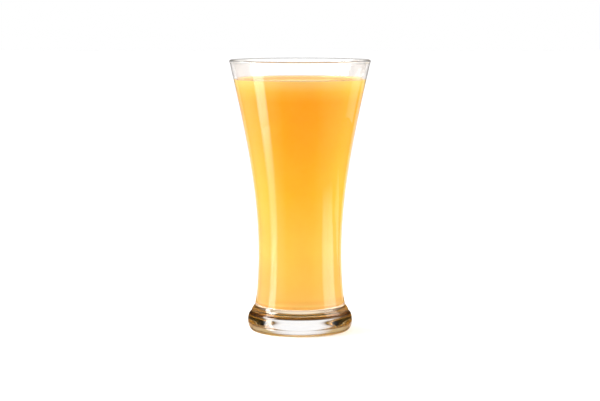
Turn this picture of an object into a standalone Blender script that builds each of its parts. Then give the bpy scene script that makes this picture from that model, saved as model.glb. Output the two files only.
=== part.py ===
"""A glass of orange juice.

The glass is a footed tumbler of clear pressed glass: a thick round foot with a sloping collar,
a waist just above it, and a side that flares to a wide mouth with a rolled lip. The juice fills
the hollow to a little under the lip. Both pieces are turned round the Z axis.

Metres, +Z up. The origin is the middle of the circle that the foot stands on.
"""

from math import asin, atan, cos, degrees, pi, radians, sin, sqrt

import bpy

# The glass as a whole
HEIGHT = 0.1579
RIM_DIAMETER = 0.082
WAIST_DIAMETER = 0.0484
WAIST_HEIGHT = 0.0460
FLARE_LENGTH = 0.0743

# The wall, measured level, and the rolled lip at its top
WALL_AT_LIP = 0.0015
WALL_AT_BASE = 0.0030
LIP_RADIUS = 0.0009
LIP_NECK = 0.0024

# The hollow
BASE_THICKNESS = 0.0134
HOLLOW_CORNER = 0.0070

# The foot, from its top down: cove, collar, step, disc and the ring that it stands on
FOOT_HEIGHT = 0.0150
COVE_HEIGHT = 0.0093
COVE_SPREAD = 0.0005
COLLAR_RADIUS = 0.0286
COLLAR_BOTTOM = 0.0110
COLLAR_BULGE = 0.00025
STEP_RADIUS = 0.0291
STEP_HEIGHT = 0.0107
FOOT_RADIUS = 0.0305
FOOT_WIDEST_HEIGHT = 0.0052
RING_OUTER_RADIUS = 0.0268
RING_INNER_RADIUS = 0.0255
PUNT_DEPTH = 0.0026

# The juice
JUICE_LEVEL = 0.1457
JUICE_GAP = 0.0003

# How finely the shapes are divided
TURN_STEPS = 60
WALL_ROWS = 10
LIP_SEGMENTS = 3
CORNER_SEGMENTS = 5
COVE_SEGMENTS = 3
COLLAR_SEGMENTS = 3
DISC_SEGMENTS = 4
PUNT_SEGMENTS = 4
MERGE_DISTANCE = 0.00002
CREASE_ANGLE = radians(35)

LIP_HEIGHT = HEIGHT - LIP_RADIUS
SIDE_RADIUS_AT_LIP = RIM_DIAMETER / 2 - LIP_RADIUS + WALL_AT_LIP / 2


def flare(height):
    """How far a hyperbola with its turning point at the waist has risen at a height."""
    return sqrt(1 + ((height - WAIST_HEIGHT) / FLARE_LENGTH) ** 2) - 1


def side_radius(height):
    """Outer radius of the wall: the waist's, growing by the flare up to the lip and, by a cove, to the foot."""
    waist_radius = WAIST_DIAMETER / 2
    spread = (SIDE_RADIUS_AT_LIP - waist_radius) * flare(height) / flare(LIP_HEIGHT)
    cove = max(0.0, (FOOT_HEIGHT + COVE_HEIGHT - height) / COVE_HEIGHT)
    return waist_radius + spread + COVE_SPREAD * cove ** 2


def hollow_radius(height):
    """Inner radius of the wall, which thins evenly from the base to the lip."""
    share = (height - BASE_THICKNESS) / (LIP_HEIGHT - BASE_THICKNESS)
    return side_radius(height) - WALL_AT_BASE - (WALL_AT_LIP - WALL_AT_BASE) * share


def spaced(start, end, intervals):
    """Evenly spaced values from start to end, with both ends."""
    return [start + (end - start) * i / intervals for i in range(intervals + 1)]


def arc(centre, radii, start, end, segments):
    """Points (radius, height) on an upright ellipse, from one angle to another, in degrees from the outside."""
    return [
        (centre[0] + radii[0] * cos(radians(angle)), centre[1] + radii[1] * sin(radians(angle)))
        for angle in spaced(start, end, segments)
    ]


def hollow_corner(offset=0.0):
    """The rounded corner from the hollow's floor to its wall, moved inwards by an offset."""
    top = BASE_THICKNESS + HOLLOW_CORNER
    centre = (hollow_radius(top) - HOLLOW_CORNER, top)
    radius = HOLLOW_CORNER - offset
    return arc(centre, (radius, radius), -90, 0, CORNER_SEGMENTS)


def hollow_side(top, offset=0.0):
    """The hollow's wall above that corner, from the bottom up."""
    heights = spaced(BASE_THICKNESS + HOLLOW_CORNER, top, WALL_ROWS)[1:]
    return [(hollow_radius(height) - offset, height) for height in heights]


def lip():
    """The rolled lip: a round bead on the leaning wall, from its inner side over its top to its outer side."""
    just_under = LIP_HEIGHT - LIP_NECK
    lean = degrees(atan((side_radius(LIP_HEIGHT) - side_radius(just_under)) / LIP_NECK))
    neck = degrees(asin(WALL_AT_LIP / 2 / LIP_RADIUS))
    centre = (RIM_DIAMETER / 2 - LIP_RADIUS, LIP_HEIGHT)
    radii = (LIP_RADIUS, LIP_RADIUS)
    rise = arc(centre, radii, 270 - neck - lean, 90, LIP_SEGMENTS)
    over = arc(centre, radii, 90, 0, LIP_SEGMENTS)
    under = arc(centre, radii, 0, neck - 90 - lean, LIP_SEGMENTS)
    return rise + over[1:] + under[1:]


def outer_side():
    """The outer wall from under the lip down to the top of the foot."""
    cove_top = FOOT_HEIGHT + COVE_HEIGHT
    heights = spaced(LIP_HEIGHT - LIP_NECK, cove_top, WALL_ROWS)
    heights += spaced(cove_top, FOOT_HEIGHT, COVE_SEGMENTS)[1:]
    return [(side_radius(height), height) for height in heights]


def collar():
    """The sloping collar under the crease: a straight slope that swells a little in the middle."""
    top_radius = side_radius(FOOT_HEIGHT)
    points = []
    for share in spaced(0.0, 1.0, COLLAR_SEGMENTS)[1:]:
        swell = 4 * COLLAR_BULGE * share * (1 - share)
        radius = top_radius + (COLLAR_RADIUS - top_radius) * share + swell
        points.append((radius, FOOT_HEIGHT + (COLLAR_BOTTOM - FOOT_HEIGHT) * share + swell))
    return points


def disc():
    """The disc's rounded edge, from the step under the collar down to the ring that it stands on."""
    rise = STEP_HEIGHT - FOOT_WIDEST_HEIGHT
    upper_centre = (STEP_RADIUS, FOOT_WIDEST_HEIGHT)
    lower_centre = (RING_OUTER_RADIUS, FOOT_WIDEST_HEIGHT)
    upper = arc(upper_centre, (FOOT_RADIUS - STEP_RADIUS, rise), 90, 0, DISC_SEGMENTS)
    lower = arc(lower_centre, (FOOT_RADIUS - RING_OUTER_RADIUS, FOOT_WIDEST_HEIGHT), 0, -90, DISC_SEGMENTS)
    return upper + lower[1:]


def punt():
    """The shallow hollow under the foot, from the ring in to the axis: a parabola."""
    return [
        (RING_INNER_RADIUS * share, PUNT_DEPTH * (1 - share ** 2))
        for share in spaced(1.0, 0.0, PUNT_SEGMENTS)
    ]


def glass_outline():
    """Half of the glass's section, from the hollow's floor up, over the lip, down the side and under the foot."""
    inside = [(0.0, BASE_THICKNESS)] + hollow_corner() + hollow_side(LIP_HEIGHT - LIP_NECK)
    return inside + lip() + outer_side() + collar() + disc() + punt()


def juice_outline():
    """Half of the juice's section, from the middle of its surface out, down the side and along the floor."""
    side = hollow_side(JUICE_LEVEL, JUICE_GAP)[::-1]
    corner = hollow_corner(JUICE_GAP)[::-1]
    return [(0.0, JUICE_LEVEL)] + side + corner + [(0.0, BASE_THICKNESS + JUICE_GAP)]


def glass_material():
    """Clear, colourless, polished glass."""
    material = bpy.data.materials.new("clear_glass")
    material.use_nodes = True
    shader = material.node_tree.nodes["Principled BSDF"]
    shader.inputs["Base Color"].default_value = (0.97, 0.98, 0.97, 1.0)
    shader.inputs["Metallic"].default_value = 0.0
    shader.inputs["Roughness"].default_value = 0.02
    shader.inputs["IOR"].default_value = 1.5
    shader.inputs["Transmission Weight"].default_value = 1.0
    return material


def juice_material():
    """Cloudy orange juice."""
    material = bpy.data.materials.new("orange_juice")
    material.use_nodes = True
    shader = material.node_tree.nodes["Principled BSDF"]
    shader.inputs["Base Color"].default_value = (1.0, 0.46, 0.07, 1.0)
    shader.inputs["Metallic"].default_value = 0.0
    shader.inputs["Roughness"].default_value = 0.25
    shader.inputs["IOR"].default_value = 1.35
    return material


def turned(name, outline, material, collection):
    """A solid of revolution: an outline of (radius, height) from axis to axis, turned round the Z axis."""
    vertices = [(radius, 0.0, height) for radius, height in outline]
    edges = [(i, i + 1) for i in range(len(vertices) - 1)]
    profile = bpy.data.meshes.new(name + "_profile")
    profile.from_pydata(vertices, edges, [])
    solid = bpy.data.objects.new(name, profile)
    collection.objects.link(solid)

    screw = solid.modifiers.new("turn", "SCREW")
    screw.axis = "Z"
    screw.angle = 2 * pi
    screw.steps = TURN_STEPS
    screw.render_steps = TURN_STEPS
    screw.use_merge_vertices = True
    screw.merge_threshold = MERGE_DISTANCE

    evaluated = solid.evaluated_get(bpy.context.evaluated_depsgraph_get())
    mesh = bpy.data.meshes.new_from_object(evaluated)
    mesh.name = name
    solid.modifiers.clear()
    solid.data = mesh
    bpy.data.meshes.remove(profile)
    mesh.materials.append(material)
    mesh.shade_smooth()
    mesh.set_sharp_from_angle(angle=CREASE_ANGLE)
    return solid


def main():
    for old in list(bpy.data.objects):
        bpy.data.objects.remove(old, do_unlink=True)
    collection = bpy.data.collections.new("glass_of_orange_juice")
    bpy.context.scene.collection.children.link(collection)
    turned("glass", glass_outline(), glass_material(), collection)
    turned("juice", juice_outline(), juice_material(), collection)


main()
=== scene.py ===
"""Looks of a glass of orange juice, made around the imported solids.

The clear glass and the juice are turned again on the solids' own outlines, far finer and with their
creases rounded as pressing leaves them. The juice reaches just into the wall, so it wets the glass, and
climbs it in a thin meniscus. The studio is white, with soft boxes that the glass mirrors. Lengths are in
metres.
"""

from math import asin, atan, degrees, pi, radians

import bpy
import numpy as np
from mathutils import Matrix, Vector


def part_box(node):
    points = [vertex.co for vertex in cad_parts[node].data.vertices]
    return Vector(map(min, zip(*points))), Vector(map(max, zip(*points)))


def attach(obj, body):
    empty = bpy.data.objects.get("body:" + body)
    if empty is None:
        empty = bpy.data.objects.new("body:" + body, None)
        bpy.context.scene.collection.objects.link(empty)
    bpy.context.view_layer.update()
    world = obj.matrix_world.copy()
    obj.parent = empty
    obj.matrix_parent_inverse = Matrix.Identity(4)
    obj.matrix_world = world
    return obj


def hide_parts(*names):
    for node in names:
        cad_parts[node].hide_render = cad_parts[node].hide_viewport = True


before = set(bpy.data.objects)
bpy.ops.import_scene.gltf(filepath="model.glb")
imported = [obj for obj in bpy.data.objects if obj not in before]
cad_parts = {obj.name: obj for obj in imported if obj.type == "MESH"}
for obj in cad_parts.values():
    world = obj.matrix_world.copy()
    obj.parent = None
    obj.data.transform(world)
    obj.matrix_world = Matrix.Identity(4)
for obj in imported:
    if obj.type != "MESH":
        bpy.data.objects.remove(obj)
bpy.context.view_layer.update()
glass_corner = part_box("glass")[1]
juice_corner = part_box("juice")[1]

# The glass, in the solids' own sizes
HEIGHT = glass_corner[2]
RIM_RADIUS = glass_corner[0]
WAIST_RADIUS = 0.0242
WAIST_HEIGHT = 0.0460
FLARE_LENGTH = 0.0743
WALL_AT_LIP = 0.0015
WALL_AT_BASE = 0.0030
LIP_RADIUS = 0.0009
LIP_NECK = 0.0024
BASE_THICKNESS = 0.0134
HOLLOW_CORNER = 0.0070
FOOT_HEIGHT = 0.0150
COVE_HEIGHT = 0.0093
COVE_SPREAD = 0.0005
COLLAR_RADIUS = 0.0286
COLLAR_BOTTOM = 0.0110
COLLAR_BULGE = 0.00025
STEP_RADIUS = 0.0291
STEP_HEIGHT = 0.0107
FOOT_RADIUS = 0.0305
FOOT_WIDEST_HEIGHT = 0.0052
RING_OUTER_RADIUS = 0.0268
RING_INNER_RADIUS = 0.0255
PUNT_DEPTH = 0.0026
LIP_HEIGHT = HEIGHT - LIP_RADIUS
SIDE_RADIUS_AT_LIP = RIM_RADIUS - LIP_RADIUS + WALL_AT_LIP / 2

# The juice
LEVEL = juice_corner[2]
WETTING = 0.00015
MENISCUS_RISE = 0.0018
MENISCUS_REACH = 0.0008

# How many points each part of an outline has, and how far from the wall those of the juice's surface lie
ARC_POINTS = 40
LIP_POINTS = 90
HOLLOW_POINTS = 400
SIDE_POINTS = 500
COLLAR_POINTS = 30
PUNT_POINTS = 60
SURFACE_POINTS = 20
SURFACE_END = 0.008
MENISCUS_POINTS = 60
MENISCUS_SPAN = (0.0078, 0.00005)

# How widely the creases are rounded, and how finely the skins are divided
GLASS_ROUNDING = 0.00045
JUICE_ROUNDING = GLASS_ROUNDING / 4
TURNS = 192
ROW_TURN = radians(5)
ROW_RUN = 0.002

# The photograph's camera
CAMERA_DISTANCE = 1.22
CAMERA_HEIGHT = 0.196
AIM_HEIGHT = 0.0759
LENS = 126.1

# The studio's light on matt surfaces: all round, what each side adds, and the share left from overhead
AMBIENT_LIGHT = 1.05
LEFT_LIGHT = 2.0
RIGHT_LIGHT = 2.1
OVERHEAD_LIGHT = 0.45
LIGHT_EDGE = 0.2

# What clear glass shows of the studio: a white belt round the horizon and a brown room above and below it
BELT = 1.16
BELT_TOP = 0.2
BELT_EDGE = 0.25
ROOM_COLOUR = (0.075, 0.040, 0.012)
MIRRORED = 0.05
MIRRORED_TINT = (1.0, 0.50, 0.20)

# The floor, the soft boxes and the dark cards
FLOOR_HALF = 6.0
FLOOR_GAP = 0.0003
FLOOR_LIFT = 0.1
SOFTBOX_TINT = (1.0, 0.985, 0.95)
CARD_COLOUR = (1.0, 0.55, 0.25)
SHEET_COLUMNS = 13
# How wide the soft sides of a band of tint are, as a share of the band
BAND_SOFTNESS = 0.4


def flare(height):
    """How far a hyperbola with its turning point at the waist has risen at a height."""
    return np.sqrt(1 + ((height - WAIST_HEIGHT) / FLARE_LENGTH) ** 2) - 1


def side_radius(height):
    """Outer radius of the wall: the waist's, plus the flare up to the lip and a cove down to the foot."""
    spread = (SIDE_RADIUS_AT_LIP - WAIST_RADIUS) * flare(height) / flare(LIP_HEIGHT)
    cove = np.clip((FOOT_HEIGHT + COVE_HEIGHT - height) / COVE_HEIGHT, 0, None)
    return WAIST_RADIUS + spread + COVE_SPREAD * cove ** 2


def hollow_radius(height):
    """Inner radius of the wall, which thins evenly from the base to the lip."""
    share = (height - BASE_THICKNESS) / (LIP_HEIGHT - BASE_THICKNESS)
    return side_radius(height) - WALL_AT_BASE - (WALL_AT_LIP - WALL_AT_BASE) * share


def points(radius, height):
    """Outline points as rows of (radius, height)."""
    return np.column_stack(np.broadcast_arrays(radius, height))


def arc(centre, radii, start, end, count=ARC_POINTS):
    """Points on an upright ellipse: centre + radii * (cos, sin) of even angles from start to end."""
    angle = np.radians(np.linspace(start, end, count))
    return np.array(centre) + np.array(radii) * np.column_stack((np.cos(angle), np.sin(angle)))


def hollow_corner(offset=0.0):
    """The rounded corner from the hollow's floor to its wall, moved inwards by an offset."""
    top = BASE_THICKNESS + HOLLOW_CORNER
    radius = HOLLOW_CORNER - offset
    return arc((hollow_radius(top) - HOLLOW_CORNER, top), (radius, radius), -90, 0)


def hollow_side(top, offset=0.0):
    """The hollow's wall above that corner, from the bottom up."""
    height = np.linspace(BASE_THICKNESS + HOLLOW_CORNER, top, HOLLOW_POINTS)[1:]
    return points(hollow_radius(height) - offset, height)


def lip():
    """The rolled lip: a round bead on the leaning wall, from its inner side over its top to its outer."""
    just_under = LIP_HEIGHT - LIP_NECK
    lean = degrees(atan((side_radius(LIP_HEIGHT) - side_radius(just_under)) / LIP_NECK))
    neck = degrees(asin(WALL_AT_LIP / 2 / LIP_RADIUS))
    centre = (RIM_RADIUS - LIP_RADIUS, LIP_HEIGHT)
    return arc(centre, (LIP_RADIUS, LIP_RADIUS), 270 - neck - lean, neck - 90 - lean, LIP_POINTS)


def outer_side():
    """The outer wall from under the lip down to the top of the foot."""
    height = np.linspace(LIP_HEIGHT - LIP_NECK, FOOT_HEIGHT, SIDE_POINTS)
    return points(side_radius(height), height)


def collar():
    """The sloping collar under the crease: a straight slope, swelling by 4 s (1 - s) over its share s."""
    share = np.linspace(0, 1, COLLAR_POINTS)[1:]
    swell = 4 * COLLAR_BULGE * share * (1 - share)
    top_radius = side_radius(FOOT_HEIGHT)
    radius = top_radius + (COLLAR_RADIUS - top_radius) * share + swell
    return points(radius, FOOT_HEIGHT + (COLLAR_BOTTOM - FOOT_HEIGHT) * share + swell)


def disc():
    """The disc's rounded edge, from the step under the collar down to the ring that it stands on."""
    rise = STEP_HEIGHT - FOOT_WIDEST_HEIGHT
    upper = arc((STEP_RADIUS, FOOT_WIDEST_HEIGHT), (FOOT_RADIUS - STEP_RADIUS, rise), 90, 0)
    radii = (FOOT_RADIUS - RING_OUTER_RADIUS, FOOT_WIDEST_HEIGHT)
    lower = arc((RING_OUTER_RADIUS, FOOT_WIDEST_HEIGHT), radii, 0, -90)
    return np.vstack((upper, lower[1:]))


def punt():
    """The shallow hollow under the foot, from the ring in to the axis: a parabola."""
    share = np.linspace(1, 0, PUNT_POINTS)
    return points(RING_INNER_RADIUS * share, PUNT_DEPTH * (1 - share ** 2))


def softened(outline, rounding):
    """An outline with its creases rounded and its rows laid where it bends.

    The line is read at even steps of its own length and each point becomes the mean of its neighbours
    within the rounding. A row is kept each time that turn / ROW_TURN + length / ROW_RUN has grown by one.
    """
    reach = 4
    step = rounding / (2 * reach)
    run = np.concatenate(([0], np.cumsum(np.linalg.norm(np.diff(outline, axis=0), axis=1))))
    at = np.linspace(0, run[-1], int(run[-1] / step) + 1)
    line = np.column_stack([np.interp(at, run, outline[:, axis]) for axis in (0, 1)])
    before = 2 * line[0] - line[reach:0:-1]
    after = 2 * line[-1] - line[-2:-2 - reach:-1]
    longer = np.vstack((before, line, after))
    window = np.full(2 * reach + 1, 1 / (2 * reach + 1))
    line = np.column_stack([np.convolve(longer[:, axis], window, "valid") for axis in (0, 1)])
    along = np.diff(line, axis=0)
    heading = np.unwrap(np.arctan2(along[:, 1], along[:, 0]))
    turn = np.concatenate(([0], np.abs(np.diff(heading)), [0]))
    grown = np.cumsum(turn / ROW_TURN + step / ROW_RUN)
    rows = np.searchsorted(grown, np.linspace(grown[0], grown[-1], int(grown[-1]) + 1))
    return line[np.unique(rows)]


def uprightness(outline):
    """How upright the skin is at each outline point: 1 on a wall and 0 on a floor.

    It is the level part of the normal, which is the upright part of the way along the outline.
    """
    along = np.gradient(outline, axis=0)
    return np.abs(along[:, 1]) / np.linalg.norm(along, axis=1)


def turned(name, outline, material, marks):
    """A closed skin of revolution from an outline that runs from axis to axis.

    Ring i holds (r cos a, r sin a, z) of outline point i for every angle a, neighbouring rings are joined by
    quads, and the outline's two ends are one point each, joined to their rings by triangles. Marks name the
    values, one for each outline point, that the piece's material reads.
    """
    angle = np.linspace(0, 2 * pi, TURNS, endpoint=False)
    rings = outline[1:-1]
    ring_points = np.stack((
        rings[:, :1] * np.cos(angle),
        rings[:, :1] * np.sin(angle),
        np.repeat(rings[:, 1:], TURNS, axis=1),
    ), axis=-1).reshape(-1, 3)
    poles = np.array([[0, 0, outline[0, 1]], [0, 0, outline[-1, 1]]])
    vertices = np.vstack((ring_points, poles))
    index = np.arange(len(ring_points)).reshape(len(rings), TURNS)
    onward = np.roll(index, -1, axis=1)
    quads = np.stack((index[:-1], index[1:], onward[1:], onward[:-1]), axis=-1).reshape(-1, 4)
    first = np.full(TURNS, len(ring_points))
    last = first + 1
    starts = np.column_stack((first, index[0], onward[0]))
    ends = np.column_stack((index[-1], last, onward[-1]))
    mesh = bpy.data.meshes.new(name)
    mesh.from_pydata(vertices.tolist(), [], quads.tolist() + starts.tolist() + ends.tolist())
    for key, value in marks.items():
        spread = np.concatenate((np.repeat(value[1:-1], TURNS), value[[0, -1]]))
        mesh.attributes.new(key, "FLOAT", "POINT").data.foreach_set("value", spread)
    mesh.materials.append(material)
    mesh.shade_smooth()
    piece = bpy.data.objects.new(name, mesh)
    bpy.context.scene.collection.objects.link(piece)
    return piece


def glass_outline():
    """Half of the glass's section: the hollow from its floor up, the lip, the side and the underside."""
    inside = np.vstack(([[0.0, BASE_THICKNESS]], hollow_corner(), hollow_side(LIP_HEIGHT - LIP_NECK)))
    return np.vstack((inside, lip(), outer_side(), collar(), disc(), punt()))


def juice_outline():
    """Half of the juice's section, from the middle of its surface out, up the meniscus and down the side.

    The meniscus is LEVEL + rise * exp(-d / reach), with d the distance from the wall.
    """
    wall = hollow_radius(LEVEL) + WETTING
    open_part = np.linspace(wall, SURFACE_END, SURFACE_POINTS)
    by_the_wall = np.geomspace(*MENISCUS_SPAN, MENISCUS_POINTS)
    radius = wall - np.concatenate((open_part, by_the_wall, [0]))
    surface = points(radius, LEVEL + MENISCUS_RISE * np.exp((radius - wall) / MENISCUS_REACH))
    side = hollow_side(LEVEL + MENISCUS_RISE, -WETTING)[::-1]
    corner = hollow_corner(-WETTING)[::-1]
    return np.vstack((surface, side, corner, [[0.0, BASE_THICKNESS - WETTING]]))


class Value:
    """An output socket of a shader node. Arithmetic on it adds Math nodes."""

    def __init__(self, shading, socket):
        self.shading = shading
        self.socket = socket

    def maths(self, operation, *others):
        """The result of a Math node that takes this value first and the others after it."""
        inputs = dict(enumerate((self, *others)))
        return self.shading.node("ShaderNodeMath", {"operation": operation}, inputs)

    def __add__(self, other):
        return self.maths("ADD", other)

    def __mul__(self, other):
        return self.maths("MULTIPLY", other)

    def __sub__(self, other):
        return self.maths("SUBTRACT", other)

    def __rsub__(self, other):
        return self * -1.0 + other

    def __truediv__(self, other):
        return self.maths("DIVIDE", other)

    __radd__ = __add__
    __rmul__ = __mul__


class Shading:
    """The node tree of a material or of the world, while it is being built."""

    def __init__(self, tree):
        self.tree = tree

    def node(self, kind, settings, inputs, output=0):
        """A node of a kind: first its settings, a ramp's stops among them, then its values and links."""
        made = self.tree.nodes.new(kind)
        for name, setting in settings.items():
            if name == "stops":
                self.stops(made.color_ramp, setting)
            else:
                setattr(made, name, setting)
        for key, value in inputs.items():
            self.feed(made.inputs[key], value)
        return Value(self, made.outputs[output]) if made.outputs else None

    def stops(self, ramp, stops):
        """Sets the colour stops (position, (red, green, blue)) of a ramp."""
        while len(ramp.elements) < len(stops):
            ramp.elements.new(0.5)
        for element, (position, colour) in zip(ramp.elements, sorted(stops)):
            element.position = position
            element.color = (*colour, 1.0)

    def feed(self, socket, value):
        """Links a value to a socket, or sets a plain number or colour on it."""
        if isinstance(value, Value):
            self.tree.links.new(value.socket, socket)
        else:
            socket.default_value = value


def principled(name, settings):
    """A new material and its shading, with the Principled shader's own sockets set to plain values."""
    material = bpy.data.materials.new(name)
    material.use_nodes = True
    shading = Shading(material.node_tree)
    shader = material.node_tree.nodes["Principled BSDF"]
    for key, value in settings.items():
        shader.inputs[key].default_value = value
    return material, shading, shader


def linear(red, green, blue):
    """A colour given in 8-bit display values, as the linear values that shaders take."""
    share = np.array((red, green, blue)) / 255
    return tuple(np.where(share <= 0.04045, share / 12.92, ((share + 0.055) / 1.055) ** 2.4))


def blend(shading, value, reach, results):
    """A smooth step of a value from one result to the other over a reach (from, to)."""
    return shading.node("ShaderNodeMapRange", {"interpolation_type": "SMOOTHSTEP"}, {
        "Value": value,
        "From Min": reach[0],
        "From Max": reach[1],
        "To Min": results[0],
        "To Max": results[1],
    })


def band(shading, value, start, end):
    """One between start and end, and zero outside them, with soft sides a share of the band wide."""
    soft = (end - start) * BAND_SOFTNESS
    rise = blend(shading, value, (start - soft, start), (0.0, 1.0))
    return rise * blend(shading, value, (end, end + soft), (1.0, 0.0))


def mixed(shading, kind, share, first, second):
    """Two colours blended by a Mix node, whose colours are inputs 6 and 7 and whose result is output 2."""
    settings = {"data_type": "RGBA", "blend_type": kind}
    pair = [(*colour, 1.0) if isinstance(colour, tuple) else colour for colour in (first, second)]
    return shading.node("ShaderNodeMix", settings, {0: share, 6: pair[0], 7: pair[1]}, 2)


# The mould's waviness
WAVE_SCALE = 45.0
WAVE_DEPTH = 0.0002
WAVE_STRENGTH = 0.25
# Painted light and shade: the juice's light and shade painted into the foot as tints, and the heights where
# they lie
PAINTED_FOOT_SIDES = (0.40, 0.22, 0.055)
PAINTED_FOOT_CREASE = (0.98, 0.66, 0.36)
PAINTED_FOOT_STEP = (0.05, 0.018, 0.004)
PAINTED_FOOT_DISC = (0.88, 0.87, 0.87)
CREASE_HEIGHTS = (0.0122, 0.0160)
STEP_HEIGHTS = (0.0099, 0.0111)
DISC_HEIGHTS = (0.0090, 0.0100)
SIDES_BOTTOM_HEIGHTS = (0.0002, 0.0008)
SIDES_TOP_HEIGHTS = (0.0112, 0.0135)
SIDES_ABOVE_TOP = 0.3
# How far the skin turns away as the sides' tint sets in, and the radii outside which the tints lie
TURNED_AWAY = (0.04, 0.30)
OUTER_SKIN = (0.0235, 0.0245)
LEAST_UPRIGHT = 0.1
# A painted grey line along the top of the lip: painted shade in what it lets through, and a painted glint of
# the light that it catches
LIP_PAINTED_SHADE = (0.10, 0.10, 0.10)
LIP_PAINTED_GLINT = (0.22, 0.22, 0.21)
LIP_TOP_HEIGHTS = (HEIGHT - 0.0008, HEIGHT - 0.0004)
# Painted light: a faint white glow on the clear wall above the juice, for the white room's light
PAINTED_CLEAR_GLOW = (0.034, 0.037, 0.042)
CLEAR_HEIGHTS = (LEVEL + 0.0005, LEVEL + 0.0020)


def glass_material():
    """Clear pressed glass: polished, colourless, with the faint waviness that the mould leaves.

    The thick foot has the juice's light and shade painted into it: cream at its crease, brown under its
    collar, pale grey in its disc, and amber towards its sides, where it turns away from the eye. The lip's
    top has a painted grey line of shade and a painted glint, and the clear wall under it a faint painted
    white glow.
    """
    material, shading, shader = principled("clear_glass", {
        "Base Color": (1.0, 1.0, 1.0, 1.0),
        "Roughness": 0.0,
        "IOR": 1.5,
        "Transmission Weight": 1.0,
        "Emission Strength": 1.0,
    })
    place = shading.node("ShaderNodeTexCoord", {}, {}, "Object")
    waves = shading.node("ShaderNodeTexNoise", {}, {"Vector": place, "Scale": WAVE_SCALE, "Detail": 1.0})
    bump = {"Height": waves, "Strength": WAVE_STRENGTH, "Distance": WAVE_DEPTH}
    shading.feed(shader.inputs["Normal"], shading.node("ShaderNodeBump", {}, bump, "Normal"))

    height = shading.node("ShaderNodeSeparateXYZ", {}, {0: place}, "Z")
    flatten = {0: place, 1: (1.0, 1.0, 0.0)}
    level = shading.node("ShaderNodeVectorMath", {"operation": "MULTIPLY"}, flatten, "Vector")
    radius = shading.node("ShaderNodeVectorMath", {"operation": "LENGTH"}, {0: level}, "Value")
    facing = shading.node("ShaderNodeLayerWeight", {}, {"Blend": 0.5}, "Facing")
    upright = shading.node("ShaderNodeAttribute", {"attribute_name": "upright"}, {}, "Fac")
    turned_away = 1.0 - (1.0 - facing) / upright.maths("MAXIMUM", LEAST_UPRIGHT)
    outside = blend(shading, radius, OUTER_SKIN, (0.0, 1.0))
    sides = blend(shading, turned_away, TURNED_AWAY, (0.0, 1.0)) * outside
    sides = sides * blend(shading, height, SIDES_BOTTOM_HEIGHTS, (0.0, 1.0))
    sides = sides * blend(shading, height, SIDES_TOP_HEIGHTS, (1.0, SIDES_ABOVE_TOP))
    crease = band(shading, height, *CREASE_HEIGHTS) * outside
    step = band(shading, height, *STEP_HEIGHTS) * outside
    disc = blend(shading, height, DISC_HEIGHTS, (1.0, 0.0)) * outside
    lip_top = blend(shading, height, LIP_TOP_HEIGHTS, (0.0, 1.0))
    # Painted light and shade of the juice in the foot: amber sides, pale grey disc, cream crease, brown step
    tint = mixed(shading, "MIX", sides, (1.0, 1.0, 1.0), PAINTED_FOOT_SIDES)
    tint = mixed(shading, "MULTIPLY", disc, tint, PAINTED_FOOT_DISC)
    tint = mixed(shading, "MULTIPLY", crease, tint, PAINTED_FOOT_CREASE)
    tint = mixed(shading, "MULTIPLY", step, tint, PAINTED_FOOT_STEP)
    # Painted shade: a dark grey line along the top of the lip
    tint = mixed(shading, "MULTIPLY", lip_top, tint, LIP_PAINTED_SHADE)
    shading.feed(shader.inputs["Base Color"], tint)

    # Painted light: a faint white glow on the clear wall above the juice, and a glint on the lip's top
    clear_part = blend(shading, height, CLEAR_HEIGHTS, (0.0, 1.0))
    glow = mixed(shading, "MIX", clear_part, (0.0, 0.0, 0.0), PAINTED_CLEAR_GLOW)
    shading.feed(shader.inputs["Emission Color"], mixed(shading, "MIX", lip_top, glow, LIP_PAINTED_GLINT))
    return material


# Colours of the juice by height, from the floor of the hollow to the surface
JUICE_COLOURS = (
    # The two lowest stops are painted light: paler, to lift the shade where the hollow's rounded corner
    # faces down
    (0.0137, linear(252, 206, 112)),
    (0.0185, linear(250, 194, 94)),
    (0.0290, linear(250, 193, 84)),
    (0.0470, linear(250, 197, 78)),
    (0.0820, linear(250, 184, 36)),
    (0.1100, linear(250, 172, 18)),
    (LEVEL - 0.0110, linear(250, 166, 14)),
    (LEVEL - 0.0050, linear(250, 182, 56)),
    (LEVEL, linear(250, 200, 108)),
)
# Its free surface, darker by painted shade than the juice under it, a paler line along the wall and the film
# on the wall, by height over the surface
SHADED_SURFACE_COLOUR = linear(251, 186, 80)
SURFACE_COAT = 0.4
SHORE_COLOUR = linear(250, 196, 110)
SHORE_HEIGHTS = (0.0002, 0.0007)
FILM_COLOUR = linear(255, 214, 145)
FILM_HEIGHTS = (0.0005, 0.0012)
FILM_THINS = (0.0010, MENISCUS_RISE * 0.95)
# Painted light: its tints where it turns away from the eye, high up and low down
SIDE_PAINTED_LIGHT = (1.0, 1.20, 0.94)
LOW_SIDE_PAINTED_LIGHT = (1.0, 0.98, 0.98)
SIDE_PAINTED_LIGHT_HEIGHTS = (0.030, 0.090)
SIDE_TURNED_AWAY = (0.03, 0.18)
# Its drifts and grains of pulp: their scales and strengths, and their darkest and lightest shade
DRIFT_SCALE = 60.0
DRIFT_STRENGTH = 0.35
PULP_SCALE = 700.0
PULP_STRENGTH = 0.25
PULP_DARK = (-0.12, -0.12, -0.05)
PULP_LIGHT = (0.12, 0.12, 0.05)
# The light that comes through the cloudy juice at its lower edge
LOW_GLOW = (1.0, 0.90, 0.45)
LOW_GLOW_STRENGTH = 0.20
LOW_GLOW_HEIGHTS = (0.0150, 0.0190)


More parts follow.
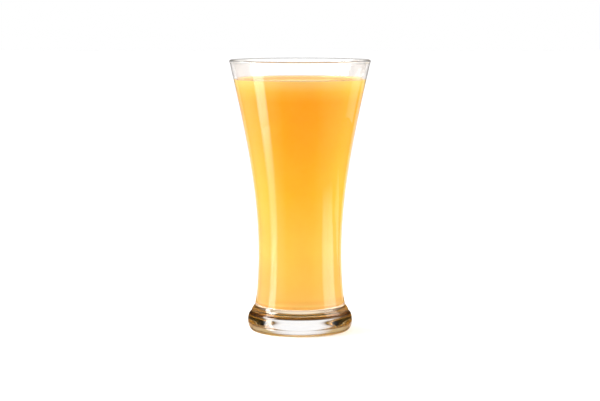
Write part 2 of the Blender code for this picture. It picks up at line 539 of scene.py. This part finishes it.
def juice_material():
    """Cloudy juice: paler at the surface and towards the foot, deep orange between, with drifts of pulp.

    Its free surface is wet, and darker than the juice under it by painted shade. A thin paler line lies
    along the wall, and above it the film that climbs the wall thins out to nothing. Where it turns away from
    the eye it is yellower high up and a touch duller low down, by painted light. The juice glows faintly at
    its lower edge with painted light, where light comes through it.
    """
    material, shading, shader = principled("orange_juice", {
        "Roughness": 0.35,
        "IOR": 1.35,
        "Specular IOR Level": 0.0,
        "Coat Roughness": 0.06,
        "Coat IOR": 1.33,
        "Emission Strength": LOW_GLOW_STRENGTH,
    })
    place = shading.node("ShaderNodeTexCoord", {}, {}, "Object")
    height = shading.node("ShaderNodeSeparateXYZ", {}, {0: place}, "Z")
    open_air = shading.node("ShaderNodeAttribute", {"attribute_name": "open_air"}, {}, "Fac")
    stops = [(z / LEVEL, colour) for z, colour in JUICE_COLOURS]
    body = shading.node("ShaderNodeValToRGB", {"stops": stops}, {0: height / LEVEL})
    coarse = {"Vector": place, "Scale": DRIFT_SCALE, "Detail": 3.0}
    fine = {"Vector": place, "Scale": PULP_SCALE, "Detail": 2.0}
    drifts = (shading.node("ShaderNodeTexNoise", {}, coarse) - 0.5) * DRIFT_STRENGTH
    pulp = (shading.node("ShaderNodeTexNoise", {}, fine) - 0.5) * PULP_STRENGTH
    cloud = drifts + pulp
    facing = shading.node("ShaderNodeLayerWeight", {}, {"Blend": 0.5}, "Facing")
    # Painted light: the juice is tinted where it turns away from the eye
    high = blend(shading, height, SIDE_PAINTED_LIGHT_HEIGHTS, (0.0, 1.0))
    side_painted_light = mixed(shading, "MIX", high, LOW_SIDE_PAINTED_LIGHT, SIDE_PAINTED_LIGHT)
    turned_away = blend(shading, facing, SIDE_TURNED_AWAY, (0.0, 1.0))
    body = mixed(shading, "MULTIPLY", turned_away, body, side_painted_light)
    shade = mixed(shading, "MIX", cloud + 0.5, PULP_DARK, PULP_LIGHT)
    body = mixed(shading, "ADD", 1.0, body, shade)
    above = height - LEVEL
    shore = band(shading, above, *SHORE_HEIGHTS)
    # Painted shade: the free surface is darker than the juice just under it
    surface = mixed(shading, "MIX", shore, SHADED_SURFACE_COLOUR, SHORE_COLOUR)
    colour = mixed(shading, "MIX", open_air, body, surface)
    film = blend(shading, above, FILM_HEIGHTS, (0.0, 1.0))
    colour = mixed(shading, "MIX", film, colour, FILM_COLOUR)
    shading.feed(shader.inputs["Base Color"], colour)
    shading.feed(shader.inputs["Alpha"], blend(shading, above, FILM_THINS, (1.0, 0.0)))
    shading.feed(shader.inputs["Coat Weight"], open_air * SURFACE_COAT)

    low = blend(shading, height, LOW_GLOW_HEIGHTS, (1.0, 0.0))
    shading.feed(shader.inputs["Emission Color"], mixed(shading, "MIX", low, (0.0, 0.0, 0.0), LOW_GLOW))
    return material


def dress(piece, node):
    """Puts a piece on the root body and hides the solid that it stands for."""
    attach(piece, "root")
    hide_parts(node)


def floor():
    """A pale matt floor with a faint glow. Mirror-like rays pass it by, so the glass doesn't mirror it."""
    material, _, _ = principled("pale_floor", {
        "Base Color": (0.9, 0.9, 0.9, 1.0),
        "Roughness": 0.6,
        "Specular IOR Level": 0.0,
        "Emission Color": (1.0, 1.0, 1.0, 1.0),
        "Emission Strength": FLOOR_LIFT,
    })
    corners = np.array([(-1, -1), (1, -1), (1, 1), (-1, 1)]) * FLOOR_HALF
    mesh = bpy.data.meshes.new("floor")
    mesh.from_pydata([(x, y, -FLOOR_GAP) for x, y in corners], [], [(0, 1, 2, 3)])
    mesh.materials.append(material)
    plane = bpy.data.objects.new("floor", mesh)
    bpy.context.scene.collection.objects.link(plane)
    plane.visible_glossy = False


def sheet(name, distance, stations, sharpness):
    """A sheet bent round the glass, with its material's shading, its radiance and its softness at the sides.

    Each station, from the bottom up, is (azimuth and height of one side, azimuth and height of the other,
    radiance), with azimuths in degrees from the front to the right. The radiance runs evenly from station to
    station. The softness is 1 - (2u - 1)^sharpness over the share u across. The sheet throws no shadow and
    the camera doesn't see it.
    """
    material = bpy.data.materials.new(name)
    material.use_nodes = True
    material.node_tree.nodes.clear()
    shading = Shading(material.node_tree)
    stations = np.array(stations)
    share = np.linspace(0, 1, SHEET_COLUMNS)
    turn = np.radians(stations[:, :1] + (stations[:, 2:3] - stations[:, :1]) * share)
    height = stations[:, 1:2] + (stations[:, 3:4] - stations[:, 1:2]) * share
    corners = np.stack((distance * np.sin(turn), -distance * np.cos(turn), height), axis=-1)
    index = np.arange(turn.size).reshape(turn.shape)
    below = index[:-1]
    above = index[1:]
    quads = np.stack((below[:, :-1], below[:, 1:], above[:, 1:], above[:, :-1]), axis=-1).reshape(-1, 4)
    mesh = bpy.data.meshes.new(name)
    mesh.from_pydata(corners.reshape(-1, 3).tolist(), [], quads.tolist())
    for key, value in {"radiance": stations[:, 4:], "across": share}.items():
        layer = mesh.attributes.new(key, "FLOAT", "POINT")
        layer.data.foreach_set("value", np.broadcast_to(value, turn.shape).ravel())
    mesh.materials.append(material)
    cloth = bpy.data.objects.new(name, mesh)
    bpy.context.scene.collection.objects.link(cloth)
    cloth.visible_camera = False
    cloth.visible_shadow = False
    radiance = shading.node("ShaderNodeAttribute", {"attribute_name": "radiance"}, {}, "Fac")
    across = shading.node("ShaderNodeAttribute", {"attribute_name": "across"}, {}, "Fac")
    return shading, radiance, 1.0 - (across * 2.0 - 1.0).maths("POWER", sharpness)


def softbox(name, distance, stations, sharpness, only_mirrored=False):
    """A softbox: a sheet of glowing cloth. Clear glass mirrors it but doesn't show it through itself.

    Its glow is radiance * softness. One that is only mirrored lights the floor, but not the juice.
    """
    shading, radiance, fall = sheet(name, distance, stations, sharpness)
    shows = shading.node("ShaderNodeLightPath", {}, {}, "Is Reflection Ray")
    if not only_mirrored:
        scattered = shading.node("ShaderNodeLightPath", {}, {}, "Diffuse Depth").maths("MINIMUM", 1.0)
        shows = shows.maths("MAXIMUM", scattered)
    strength = radiance * fall * shows
    glow = shading.node("ShaderNodeEmission", {}, {"Color": (*SOFTBOX_TINT, 1.0), "Strength": strength})
    clear = shading.node("ShaderNodeBsdfTransparent", {}, {})
    added = shading.node("ShaderNodeAddShader", {}, {0: glow, 1: clear})
    shading.node("ShaderNodeOutputMaterial", {}, {"Surface": added})


def dark_card(name, distance, stations, sharpness):
    """A dark brown card: it only keeps the boxes behind it out of what the glass mirrors."""
    shading, radiance, fall = sheet(name, distance, stations, sharpness)
    scattered = shading.node("ShaderNodeLightPath", {}, {}, "Diffuse Depth").maths("MINIMUM", 1.0)
    mirrored = shading.node("ShaderNodeLightPath", {}, {}, "Is Reflection Ray") * (1.0 - scattered)
    brown = shading.node("ShaderNodeEmission", {}, {"Color": (*CARD_COLOUR, 1.0), "Strength": radiance})
    clear = shading.node("ShaderNodeBsdfTransparent", {}, {})
    card = shading.node("ShaderNodeMixShader", {}, {0: mirrored * fall, 1: clear, 2: brown})
    shading.node("ShaderNodeOutputMaterial", {}, {"Surface": card})


def surroundings():
    """A white studio. Matt surfaces get its light; clear glass shows a white belt and a brown room.

    What the glass mirrors of it is dimmed and tinted brown, and the camera sees it plain white.
    """
    world = bpy.data.worlds.new("studio")
    world.use_nodes = True
    bpy.context.scene.world = world
    world.node_tree.nodes.clear()
    shading = Shading(world.node_tree)
    direction = shading.node("ShaderNodeTexCoord", {}, {}, "Generated")
    right = shading.node("ShaderNodeSeparateXYZ", {}, {0: direction}, "X")
    up = shading.node("ShaderNodeSeparateXYZ", {}, {0: direction}, "Z")
    light = AMBIENT_LIGHT + blend(shading, right, (LIGHT_EDGE, 1.0), (0.0, RIGHT_LIGHT))
    light = light + blend(shading, right, (-LIGHT_EDGE, -1.0), (0.0, LEFT_LIGHT))
    light = light * blend(shading, up, (LIGHT_EDGE, 1.0), (1.0, OVERHEAD_LIGHT))
    belt = blend(shading, up.maths("ABSOLUTE"), (BELT_TOP, BELT_TOP + BELT_EDGE), (1.0, 0.0))
    mirrored = shading.node("ShaderNodeLightPath", {}, {}, "Is Reflection Ray")
    room = (1.0 - mirrored * (1.0 - MIRRORED)) * BELT
    seen = shading.node("ShaderNodeLightPath", {}, {}, "Is Camera Ray")
    scattered = shading.node("ShaderNodeLightPath", {}, {}, "Diffuse Depth").maths("MINIMUM", 1.0)
    strength = room + (light - room) * scattered
    strength = strength + (1.0 - strength) * seen
    white = belt.maths("MAXIMUM", seen).maths("MAXIMUM", scattered)
    tint = mixed(shading, "MIX", white, ROOM_COLOUR, (1.0, 1.0, 1.0))
    tint = mixed(shading, "MULTIPLY", mirrored * (1.0 - scattered), tint, MIRRORED_TINT)
    sky = shading.node("ShaderNodeBackground", {}, {"Color": tint, "Strength": strength})
    shading.node("ShaderNodeOutputWorld", {}, {"Surface": sky})


def sheets():
    """The soft boxes and the dark cards, each where the glass mirrors it as the photograph shows."""
    softbox("left_strip", 0.3, (
        (-87, 0.0000, -63, -0.0070, 0.0),
        (-87, 0.0080, -63, 0.0010, 1.4),
        (-87, 0.0260, -63, 0.0150, 5.4),
        (-87, 0.2500, -63, 0.2500, 5.4),
    ), 6.0)
    softbox("foot_low_strip", 0.31, (
        (-84, -0.2000, -58, -0.2000, 10.0),
        (-84, -0.0160, -58, -0.0160, 10.0),
        (-84, -0.0070, -61, -0.0070, 2.0),
        (-84, 0.0160, -61, 0.0040, 2.0),
    ), 4.0, only_mirrored=True)
    softbox("foot_near_strip", 0.05, (
        (-60, 0.004, -44, 0.004, 14.0),
        (-60, 0.014, -44, 0.014, 14.0),
        (-60, 0.018, -44, 0.018, 0.0),
    ), 4.0, only_mirrored=True)
    dark_card("left_card", 0.049, (
        (-150, 0.000, -58, 0.000, 0.1),
        (-150, 0.016, -58, 0.016, 0.1),
    ), 12.0)
    dark_card("right_card", 0.049, (
        (54, 0.000, 150, 0.000, 0.1),
        (54, 0.016, 150, 0.016, 0.1),
    ), 12.0)
    softbox("left_rear_box", 0.96, (
        (-178, -0.35, -140, -0.35, 0.0),
        (-178, -0.20, -140, -0.20, 0.9),
        (-178, -0.02, -140, -0.02, 0.9),
        (-178, 0.08, -140, 0.08, 0.0),
    ), 4.0, only_mirrored=True)
    softbox("right_rear_box", 0.96, (
        (140, -0.35, 178, -0.35, 0.0),
        (140, -0.20, 178, -0.20, 0.9),
        (140, -0.02, 178, -0.02, 0.9),
        (140, 0.08, 178, 0.08, 0.0),
    ), 4.0, only_mirrored=True)
    softbox("foot_middle_strip", 0.315, (
        (-84, 0.140, -60, 0.140, 0.0),
        (-84, 0.170, -60, 0.170, 11.0),
        (-84, 0.300, -60, 0.300, 11.0),
    ), 4.0, only_mirrored=True)
    softbox("foot_high_strip", 0.32, (
        (-93, 0.15, -67, 0.15, 0.0),
        (-95, 0.17, -69, 0.17, 14.0),
        (-115, 0.27, -88, 0.27, 14.0),
        (-136, 0.36, -108, 0.36, 14.0),
        (-156, 0.36, -128, 0.36, 14.0),
    ), 6.0, only_mirrored=True)
    softbox("left_wide_box", 0.94, (
        (-150, -0.60, -35, -0.60, 1.1),
        (-150, -0.36, -35, -0.36, 1.1),
        (-150, -0.26, -35, -0.26, 0.7),
        (-150, -0.20, -35, -0.20, 1.3),
        (-150, 0.05, -35, 0.05, 1.3),
        (-150, 0.12, -35, 0.12, 0.3),
        (-150, 0.90, -35, 0.90, 0.3),
    ), 2.0)
    softbox("right_box", 0.9, (
        (57, -0.210, 86, -0.180, 0.0),
        (61, -0.150, 98, -0.120, 2.4),
        (62, -0.080, 107, -0.070, 3.4),
        (66, 0.900, 112, 0.900, 3.8),
    ), 6.0)
    softbox("right_wide_box", 0.94, (
        (35, -0.60, 150, -0.60, 0.6),
        (35, 0.90, 150, 0.90, 0.6),
    ), 2.0)
    softbox("right_far_box", 0.92, (
        (102, -0.16, 134, -0.07, 0.8),
        (102, -0.13, 134, -0.04, 0.8),
    ), 4.0)


def camera():
    """The photograph's view: nearly level, from in front, with colours shown as they are."""
    data = bpy.data.cameras.new("camera")
    data.lens = LENS
    data.sensor_width = 36.0
    data.clip_start = 0.05
    data.clip_end = 20.0
    eye = bpy.data.objects.new("camera", data)
    eye.location = (0.0, -CAMERA_DISTANCE, CAMERA_HEIGHT)
    eye.rotation_euler = (pi / 2 - atan((CAMERA_HEIGHT - AIM_HEIGHT) / CAMERA_DISTANCE), 0.0, 0.0)
    bpy.context.scene.collection.objects.link(eye)
    bpy.context.scene.camera = eye
    bpy.context.scene.view_settings.view_transform = "Standard"


camera()
surroundings()
floor()
sheets()

outline = softened(glass_outline(), GLASS_ROUNDING)
glass = turned("glass_body", outline, glass_material(), {"upright": uprightness(outline)})
dress(glass, "glass")
outline = softened(juice_outline(), JUICE_ROUNDING)
open_air = np.arange(len(outline)) <= np.argmax(outline[:, 1])
juice = turned("juice_fill", outline, juice_material(), {"open_air": open_air.astype(float)})
dress(juice, "juice")
